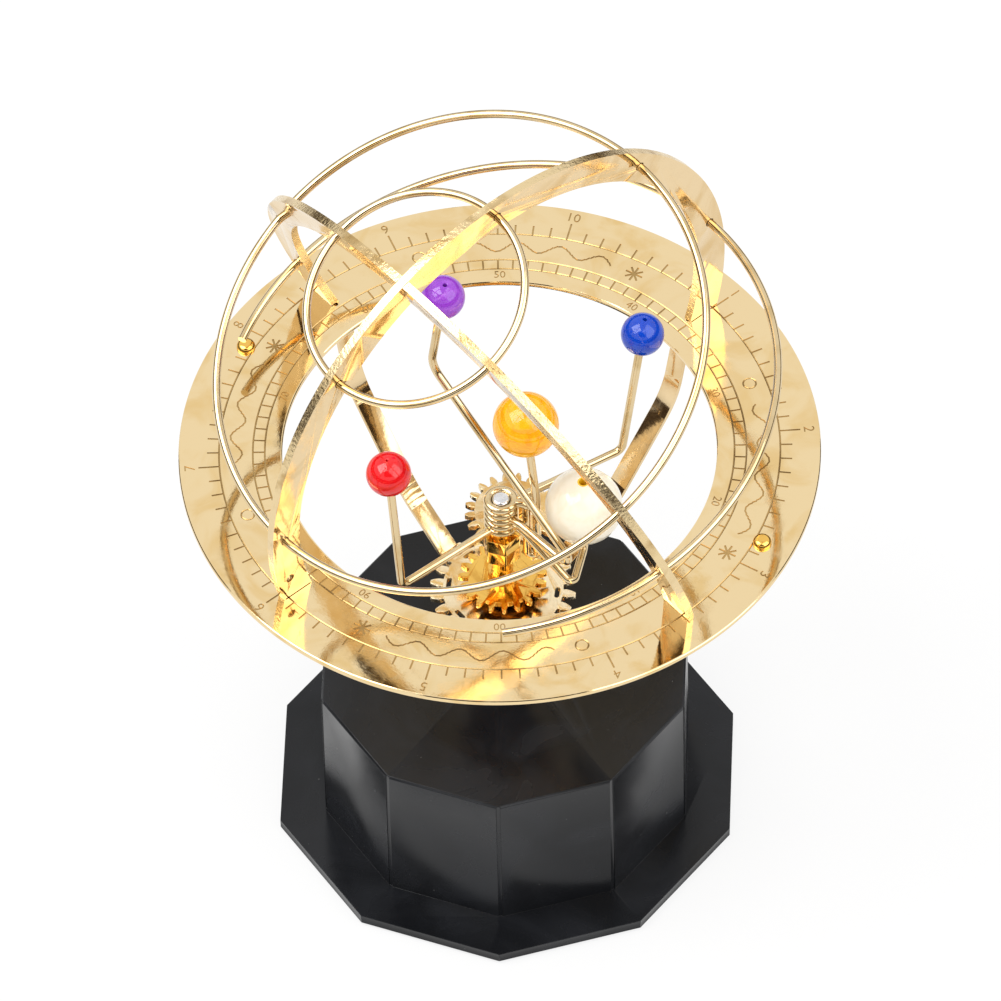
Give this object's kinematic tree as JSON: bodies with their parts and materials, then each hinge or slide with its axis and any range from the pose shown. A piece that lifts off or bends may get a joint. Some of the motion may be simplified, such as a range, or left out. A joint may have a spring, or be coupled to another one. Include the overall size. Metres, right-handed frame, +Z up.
{
  "type": "table orrery",
  "caption": "Motor-driven table orrery: bead planets on bent wire arms turn on a geared spindle inside a brass armillary cage, on a black ten-sided base.",
  "frame": {"origin": "on the spindle's axis, at the level of the surface that the feet stand on", "axes": "+Z up along the spindle; +X along the vertical arch's foot line, away from the side that the pole leans to; +Y along the leaning arch's foot line"},
  "size_m": [0.15, 0.15, 0.2129],
  "materials": {
    "black_plastic": "glossy black moulded plastic",
    "rubber": "matt black rubber",
    "battery": "plain dark sleeve on a steel can",
    "steel": "bright steel",
    "white_plastic": "natural moulded plastic",
    "brass": "bright turned brass",
    "polished_brass": "mirror-polished pale brass",
    "pale_gold_gear": "pale brass plate with cut teeth",
    "gold_wire": "drawn brass wire, polished",
    "red_bead": "glossy marbled red ball",
    "purple_bead": "glossy marbled purple ball",
    "blue_bead": "glossy marbled blue ball",
    "white_bead": "glossy off-white ball",
    "yellow_bead": "glossy amber-yellow ball",
    "yellow_lining": "yellow lining"
  },
  "bodies": {
    "root": {"base_housing": "black_plastic", "bottom_cover": "black_plastic", "battery_door": "black_plastic", "battery_cells": "battery", "battery_contacts": "steel", "gearbox_case": "white_plastic", "motor_can": "steel", "gearbox_screws": "steel", "switch_body": "black_plastic", "rubber_feet": "rubber", "cover_screws": "steel", "pedestal": "brass", "bearing_sleeve": "brass", "strap_lower": "polished_brass", "strap_upper": "polished_brass", "strap_nut": "brass", "wheel_spacer": "brass", "wheel_collar": "steel", "layshaft_post": "steel", "layshaft_pillar": "brass", "layshaft_nut": "brass", "horizon_ring": "polished_brass", "ring_screws": "brass", "ring_screw_nuts": "brass", "arch_a": "polished_brass", "arch_b": "polished_brass", "wire_ring_small": "gold_wire", "wire_ring_medium": "gold_wire", "wire_ring_large": "gold_wire"},
    "spindle": {"spindle": "steel", "drive_coupling": "white_plastic", "small_gear": "brass", "hub_nuts": "brass", "hub_washer": "brass"},
    "wheel": {"large_gear": "pale_gold_gear"},
    "layshaft": {"layshaft_pinion": "brass", "layshaft_gear": "pale_gold_gear"},
    "switch": {"switch_knob": "black_plastic"},
    "arm_red": {"arm_red": "gold_wire", "bead_red": "red_bead"},
    "arm_white": {"arm_white": "gold_wire", "bead_white": "white_bead", "bead_white_lining": "yellow_lining"},
    "arm_purple": {"arm_purple": "gold_wire", "bead_purple": "purple_bead"},
    "arm_blue": {"arm_blue": "gold_wire", "bead_blue": "blue_bead"},
    "arm_sun": {"arm_sun": "gold_wire", "bead_sun": "yellow_bead"}
  },
  "joints": [
    {"name": "spindle_spin", "type": "hinge", "parent": "root", "child": "spindle", "pos_m": [0, 0, 0.08], "axis": [0, 0, 1], "continuous": true},
    {"name": "layshaft_spin", "type": "hinge", "parent": "root", "child": "layshaft", "pos_m": [0.01486, 0.01338, 0.0765], "axis": [0, 0, 1], "continuous": true},
    {"name": "wheel_spin", "type": "hinge", "parent": "root", "child": "wheel", "pos_m": [0, 0, 0.0718], "axis": [0, 0, 1], "continuous": true},
    {"name": "switch_slide", "type": "slide", "parent": "root", "child": "switch", "axis": [1, 0, 0], "range_m": [0, 0.003]},
    {"name": "red_arm_swing", "type": "hinge", "parent": "spindle", "child": "arm_red", "pos_m": [0, 0, 0.0969], "axis": [0, 0, 1], "range_deg": [-40, 40]},
    {"name": "white_arm_swing", "type": "hinge", "parent": "spindle", "child": "arm_white", "pos_m": [0, 0, 0.099], "axis": [0, 0, 1], "range_deg": [-2, 1]},
    {"name": "purple_arm_swing", "type": "hinge", "parent": "spindle", "child": "arm_purple", "pos_m": [0, 0, 0.1011], "axis": [0, 0, 1], "range_deg": [-45, 1]},
    {"name": "blue_arm_swing", "type": "hinge", "parent": "spindle", "child": "arm_blue", "pos_m": [0, 0, 0.1032], "axis": [0, 0, 1], "range_deg": [0, 60]},
    {"name": "sun_arm_swing", "type": "hinge", "parent": "spindle", "child": "arm_sun", "pos_m": [0, 0, 0.1053], "axis": [0, 0, 1], "range_deg": [-2, 15]}
  ],
  "couplings": [
    {"joint": "layshaft_spin", "follows": "spindle_spin", "ratio": -0.90476},
    {"joint": "wheel_spin", "follows": "spindle_spin", "ratio": 0.22619}
  ]
}
